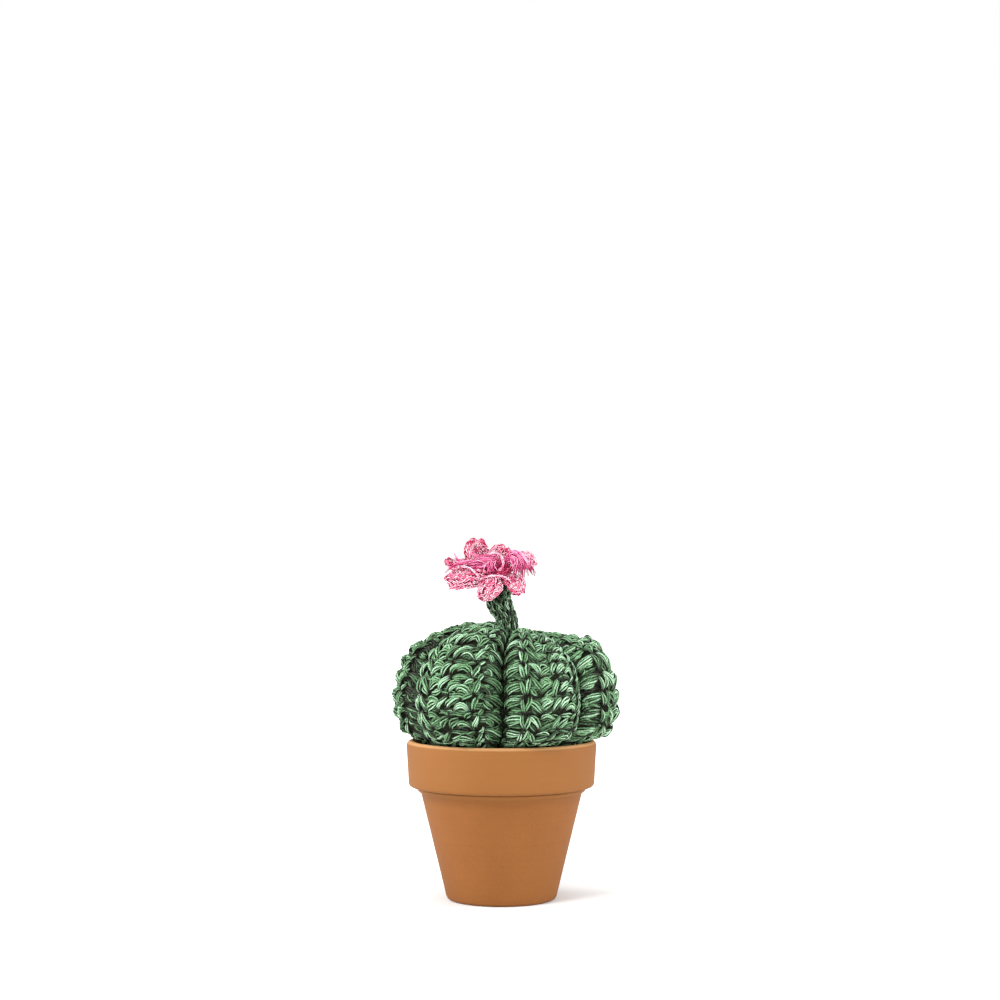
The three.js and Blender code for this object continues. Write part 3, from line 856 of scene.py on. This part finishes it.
def stem_spot(share, angle, out, full=1.0):
    heading = STEM.heading(share)
    side = heading.cross(Vector((0, 1, 0))).normalized()
    back = heading.cross(side)
    normal = side * math.cos(angle) + back * math.sin(angle)
    return Spot(STEM.at(share) + normal * (stem_radius(share) + out), normal, full)


def build_stem(material, core_material):
    draw = random.Random(STEM_SEED)
    threads = []
    for row in range(STEM_ROWS):
        for column in range(STEM_COLUMNS):
            for arm in (-1, 1):
                threads += stem_stitch(row, column, arm, draw)
    stitches = thread_piece("stem_stitches", threads)
    finish_piece(stitches, material, "stem")
    # The stem's core, under its stitches, wears the near-black painted shade of the fabric ground.
    finish_piece(stem_core(), core_material, "stem")


def stem_stitch(row, column, arm, draw):
    """One arm of a V: a small leaf of two fine threads."""
    spots = []
    slip = draw.uniform(-0.15, 0.15)
    for up, around, out, full in STEM_LEAF:
        share = (row + 0.5 + up + slip) / STEM_ROWS
        angle = math.tau * (column + arm * around + 0.35 * (row % 2)) / STEM_COLUMNS
        spots.append(stem_spot(min(1, max(0, share)), angle, out + draw.uniform(-0.1, 0.15), full))
    return band(draw, spots, 1.1, 2, FINE_RADIUS, 0.4, draw.uniform(0.2, 0.8), twist=1, loose=0.22)


def stem_core():
    def shape(u, t):
        return stem_spot(t, math.tau * u, -1.0).middle

    body = mapped_grid(20, 24, shape)
    close_up(body)
    return piece_of("stem_core", body)


# ------------------------ flower
FLOWER_CENTRE = Vector((-0.8, -0.5, 104.3))
FLOWER_AXIS = Vector((-0.22, -0.55, 0.8)).normalized()
FLOWER_SIDE = (Vector((1, 0, 0)) - FLOWER_AXIS * FLOWER_AXIS.x).normalized()
FLOWER_BACK = FLOWER_AXIS.cross(FLOWER_SIDE)
THROAT_RADIUS, THROAT_DEPTH = 4.6, 4.4
THROAT_RINGS = (8, 12, 16)               # loops round the throat, from its depth to its edge
PETAL_SHEET = 0.5                        # thickness of the fabric under a petal's loops
LOOP_PITCH, LOOP_LIFT = 0.95, 0.5
PETAL_THREAD = 0.17
# The spots of one loop: how far ahead, aside and up each is, and its fullness.
THROAT_LOOP = ((-0.1, 0, 0.1, 0.5), (0.08, 0.2, 0.7, 1), (0.24, -0.1, 0.7, 1), (0.4, 0.1, 0.1, 0.5))
PETAL_LOOP = (
    (-0.75, -0.9, -0.45, 0.5), (-0.25, -0.3, 0.25, 1), (0.25, 0.3, 0.25, 1), (0.75, 0.9, -0.45, 0.5),
)
BORDER_LOOP = ((-0.8, 0.35, 0.6), (-0.3, 0.4, 1), (0.3, -0.5, 1), (0.8, -0.7, 0.6))   # none is aside


class Petal:
    """A petal bends along its middle line; its edges curl towards the side it shows."""

    def __init__(self, line, shows, half_width, curl):
        self.line = Line(line)
        self.shows = Vector(shows).normalized()
        self.half_width = half_width
        self.curl = curl

    def frame(self, u):
        ahead = self.line.heading(min(0.98, max(0.02, u)))
        side = ahead.cross(self.shows).normalized()
        return side, side.cross(ahead)

    def half(self, u):
        """Half its width: narrow at its root, round at its tip."""
        root = mix(0.4, 1, smooth(0.05, 0.6, u))
        return self.half_width * root * math.sqrt(max(0.06, 1 - max(0, (u - 0.5) / 0.51) ** 2))

    def point(self, u, w):
        side, face = self.frame(u)
        wave = 0.3 * math.sin(5 * w + 9 * u)
        spread = w * (1 - 0.25 * abs(self.curl) / self.half_width * w * w)
        return self.line.at(u) + side * self.half(u) * spread + face * (self.curl * w * w + wave)

    def out(self, u, w):
        u, w = min(0.97, max(0.03, u)), min(0.97, max(-0.97, w))
        along = self.point(u + 0.02, w) - self.point(u - 0.02, w)
        across = self.point(u, w + 0.02) - self.point(u, w - 0.02)
        return across.cross(along).normalized()

    def spot(self, u, w, height, full=1.0):
        """height is above the side it shows, or below the other side when it is negative."""
        out = self.out(u, w)
        u, w = min(1, max(0, u)), min(1, max(-1, w))
        return Spot(self.point(u, w) + out * height, out if height > 0 else -out, full)


PETALS = {
    "back": Petal([(-0.8, 2.3, 104.8), (-0.2, 3.8, 108), (0.4, 4, 109.8), (1, 3.4, 111.2)],
                  (0, -0.8, 0.6), 3.9, 0.7),
    "top_left": Petal([(-3.8, 0.6, 104.2), (-6.8, 2, 107.2), (-8.2, 1.7, 110.3), (-7.7, 0.6, 113.5)],
                      (0.35, -0.85, 0.4), 4.3, 1.0),
    "left_tip": Petal([(-6, 1, 104.6), (-11, 1.8, 105.4), (-15, 1, 105.3), (-17.5, -0.4, 106.7)],
                      (0.1, -0.5, 0.85), 2.4, 1.1),
    "left": Petal([(-2.6, -1.2, 103), (-8, -3, 103.8), (-12.8, -3.6, 103.2), (-17.8, -3.4, 101)],
                  (-0.05, -0.66, 0.75), 5.4, -2.8),
    "right": Petal([(1.2, 0, 104.3), (4.2, 0, 107.3), (7.6, -0.9, 107.6), (10.6, -1.4, 105.6)],
                   (0.1, -0.65, 0.75), 3.9, -0.8),
    "right_low": Petal([(0.6, -1.5, 102.2), (2.8, -3.4, 101), (4.9, -4.2, 98.9), (6, -3.9, 96.6)],
                       (0.35, -0.75, 0.55), 3.2, 0.7),
    "front": Petal([(-1.6, -1.5, 100.2), (-2, -4.6, 101.5), (-4.1, -6, 98.7), (-6.9, -5.3, 95)],
                   (-0.12, -0.9, 0.42), 3.9, -0.9),
}


def throat_point(u, angle):
    """The closed bowl in the flower's middle: u is 0 in its depth and 1 at its edge."""
    flat = FLOWER_SIDE * math.cos(angle) + FLOWER_BACK * math.sin(angle)
    up = THROAT_DEPTH * (u**2 - 1) + 0.6 * u
    return FLOWER_CENTRE + flat * THROAT_RADIUS * u + FLOWER_AXIS * up


def sheet(name, body, material):
    """Gives an open sheet its thickness, and with that closed edges."""
    bmesh.ops.recalc_face_normals(body, faces=body.faces)
    bmesh.ops.solidify(body, geom=body.faces[:], thickness=PETAL_SHEET)
    bmesh.ops.recalc_face_normals(body, faces=body.faces)
    finish_piece(piece_of(name, body), material, "flower")


def pink_loops(name, threads, material):
    finish_piece(thread_piece(name, threads), material, "flower")


def build_throat(material, sheet_material):
    body = mapped_grid(40, 8, lambda u, t: throat_point(mix(0.02, 1, t), math.tau * u))
    close_up(body, weld=0.01)
    sheet("flower_throat", body, sheet_material)
    draw = random.Random(THROAT_SEED)
    threads = []
    for ring, count in enumerate(THROAT_RINGS):
        for i in range(count):
            angle = math.tau * (i + 0.5 * (ring % 2)) / count
            spots = []
            for ahead, slant, height, full in THROAT_LOOP:
                u = 0.22 + 0.24 * ring + ahead
                turn = angle + slant * math.tau / count
                middle = throat_point(u, turn)
                out = (FLOWER_AXIS - (middle - FLOWER_CENTRE).normalized()).normalized()
                spots.append(Spot(middle + out * height, out, full))
            # Painted shade: the rings deeper in the throat are darker.
            tone = 0.3 + 0.1 * ring
            threads += band(draw, spots, 1.1, 2, PETAL_THREAD, 0.35, tone, twist=0.9, loose=0.12)
    pink_loops("throat_stitches", threads, material)


def petal_loops(petal, draw):
    """Rows of small slanted loops on both sides of a petal, paler towards its edge."""
    threads = []
    rows = round(petal.line.length / LOOP_PITCH)
    for row in range(rows):
        u = (row + 0.5) / rows
        columns = max(3, round(2 * petal.half(u) / LOOP_PITCH))
        for column in range(columns):
            w = 2 * (column + 0.5 + 0.3 * (row % 2) + draw.uniform(-0.2, 0.2)) / columns - 1.15
            tone = 0.2 + 0.5 * max(smooth(0.3, 1, abs(w)), smooth(0.4, 1, u)) + draw.uniform(-0.15, 0.3)
            for height in (LOOP_LIFT, -LOOP_LIFT - PETAL_SHEET):
                lean = draw.choice((-1, 1)) * draw.uniform(0.5, 1) / columns
                away = math.copysign(1, height)
                spots = [
                    petal.spot(u + ahead / rows, w + lean * aside, height + away * rise, full)
                    for ahead, aside, rise, full in PETAL_LOOP
                ]
                threads += band(draw, spots, 0.95, 2, PETAL_THREAD, 0.32, tone, twist=0.9, loose=0.14)
    return threads


def petal_border(petal, draw):
    """A scalloped row of pale loops over a petal's edge, from root to root round its tip."""
    count = round((2 * petal.line.length + petal.half_width) / LOOP_PITCH)
    threads = []
    for i in range(count):
        spots = []
        for ahead, lift, full in BORDER_LOOP:
            share = 2 * (i + 0.5 + ahead) / count - 1
            u = min(0.97, 1.06 * (1 - share**2))
            w = math.copysign(min(1, 2.2 * abs(share)), share)
            middle, out = petal.point(max(0, u), w), petal.out(u, w)
            outward = (middle - petal.point(max(0, u - 0.08), w * 0.9)).normalized()
            middle += out * lift + outward * (0.2 if full == 1 else -0.2)
            # The out way leans towards the side the petal shows, which sets where the painted shade falls.
            spots.append(Spot(middle, (outward + petal.shows).normalized(), full))
        tone = draw.uniform(0.4, 0.9)
        threads += band(draw, spots, 0.9, 2, PETAL_THREAD, 0.3, tone, twist=0.9, loose=0.14)
    return threads


def build_petals(material, sheet_material):
    for number, (name, petal) in enumerate(PETALS.items()):
        body = mapped_grid(12, 14, lambda w, u: petal.point(u, 2 * w - 1))
        sheet(f"petal_{name}_sheet", body, sheet_material)
        draw = random.Random(PETAL_SEED + number)
        threads = petal_loops(petal, draw) + petal_border(petal, draw)
        pink_loops(f"petal_{name}_stitches", threads, material)


# Pale cords: round the back of the throat, and where the left and front petals fold over.
CORDS = {
    "throat_ring": Line([(-4.9, -1.2, 108.4), (-3.2, -2.4, 109.3), (-1.1, -3.2, 109.2), (0.5, -3.7, 107),
                         (0.3, -3.9, 105), (-1.1, -3.8, 103.5)]),
    "left_fold": Line([(-15.6, -3.6, 104.2), (-12.6, -4.4, 105.1), (-9.2, -4.9, 104), (-7.4, -5, 102),
                       (-6.9, -4.8, 100.2)]),
    "front_fold": Line([(-6.9, -5, 100.9), (-5, -5.6, 101.8), (-1.8, -5.8, 102.2), (1.1, -5.4, 101.7),
                        (2.7, -4.6, 100.7)]),
}
CORD_SHOWS = Vector((0.1, -0.8, 0.6))    # the way their loops face
CORD_PITCH = 1.1
CORD_LOOP = ((-0.9, 0.5), (-0.3, 1), (0.3, 1), (0.9, 0.5))   # only ahead, and its fullness


def build_cords(material):
    for number, (name, line) in enumerate(CORDS.items()):
        draw = random.Random(CORD_SEED + number)
        threads = []
        count = round(line.length / CORD_PITCH)
        for i in range(count):
            spots = []
            for ahead, full in CORD_LOOP:
                share = (i + 0.5 + ahead) / count
                out = (CORD_SHOWS - 0.5 * line.heading(share)).normalized()
                spots.append(Spot(line.at(share), out, full))
            tone = draw.uniform(0.4, 0.9)
            threads += band(draw, spots, 0.8, 2, PETAL_THREAD, 0.3, tone, twist=1.2, loose=0.15)
        pink_loops(name, threads, material)


# ------------------------ tassel of floss
# Each bundle: its middle line, how far its threads fan out at the end, how loose they are,
# and how many there are.
Bundle = namedtuple("Bundle", "line fan loose count")
BUNDLES = [
    Bundle([(0.4, -0.8, 104.6), (-1.6, -2, 107.7), (-5.4, -2.7, 107.6), (-9.6, -2.9, 106.6)],
           (0.6, 0.3, 1.8), 0.8, 30),
    Bundle([(-0.2, -1, 103.6), (-3, -2.6, 105.8), (-7, -3.2, 105.6), (-11.5, -3.4, 105.2)],
           (0.5, 0.3, 1.6), 0.8, 24),
    Bundle([(-5, -2.4, 107.4), (-10, -2.8, 106.4), (-13.4, -3, 106.6), (-15.2, -2.8, 109.2)],
           (0.3, 0.1, 0.3), 0.25, 8),
    Bundle([(-1.4, -1, 105.6), (-8, -2.4, 107), (-14, -4.6, 106), (-17.9, -5, 103.3)],
           (0.4, 0.2, 0.5), 0.3, 8),
    Bundle([(-3, -2, 106.8), (-6, -3, 107.8), (-8.6, -2.6, 108.6), (-9.7, -2, 110.2)],
           (0.3, 0.1, 0.3), 0.3, 5),
    Bundle([(-1, -1, 104.4), (-2.6, -2.8, 107), (-3.8, -4.2, 105), (-3.2, -5.4, 102.3)],
           (2.4, 0.2, 0.4), 0.6, 14),
    Bundle([(1, -0.6, 104.4), (1.8, -1.6, 108.6), (4.2, -2.6, 109.6), (7.2, -3.6, 106.8), (8.6, -4, 102)],
           (2.2, 0.3, 0.8), 0.8, 26),
    Bundle([(1, -0.8, 104.4), (1.6, -2, 107.8), (4.2, -3, 107.6), (5, -4.8, 101.6)],
           (1.8, 0.3, 0.6), 0.7, 22),
    Bundle([(1, -1, 104.2), (2.4, -2.4, 107.4), (4.6, -4, 103.6), (1.9, -5.8, 98.8)],
           (0.3, 0.1, 0.4), 0.2, 5),
]
FLOSS_RADIUS, FLOSS_POINTS = 0.17, 8
FLOSS_DEPTH = Vector((0.1, -0.8, 0.3))   # the way that a bundle is thick


def floss_thread(bundle, draw):
    """One wavy thread of a bundle: gathered in the throat and loose at its end."""
    place, stray = draw.uniform(-1, 1), draw.uniform(-1, 1)
    fan, line = Vector(bundle.fan), Line(bundle.line)
    end = draw.uniform(0.85, 1)
    points = []
    for i in range(FLOSS_POINTS):
        share = end * i / (FLOSS_POINTS - 1)
        wander = Vector(draw.uniform(-1, 1) for _ in range(3)) * bundle.loose
        spread = fan * place * share**1.2 + FLOSS_DEPTH * stray * bundle.loose * (0.3 + share)
        points.append(line.at(share) + spread + wander)
    radii = [FLOSS_RADIUS] * (FLOSS_POINTS - 1) + [FLOSS_RADIUS * 0.6]
    return Thread(points, radii, FLOWER_AXIS, draw.random())


def build_tassel(material):
    draw = random.Random(TASSEL_SEED)
    threads = [floss_thread(bundle, draw) for bundle in BUNDLES for _ in range(bundle.count)]
    finish_piece(thread_piece("floss_tassel", threads, steps=2), material, "flower_tassel")


# ------------------------ the whole object
add_camera()
scene.view_settings.view_transform = "Standard"

add_studio()
build_floor()
add_softboxes()

# After its shades, each yarn is given the colour of its painted shade, where its threads turn under; the
# green yarns keep yarn_finish's own.
green = yarn_finish("green_cotton", GREENS, 0.65)
dark_green = yarn_finish("dark_green_cotton", DARK_GREENS, 0.6, plies=3, flecks=(1100, 1.2))
pink = yarn_finish("variegated_pink", PINKS, 0.65, (0.52, 0.05, 0.12), -0.05, 3, (800, 1.6))
pink_sheet = sheet_finish()
magenta = yarn_finish("magenta_floss", MAGENTAS, 0.4, (0.4, 0.014, 0.1), 0, 14, (700, 1.2))
ground_painted_shade = ground_finish()

build_pot()
build_ground(ground_painted_shade)
build_stuffing()
build_lobes(green)
build_stem(dark_green, ground_painted_shade)
build_throat(pink, pink_sheet)
build_petals(pink, pink_sheet)
build_cords(pink)
build_tassel(magenta)
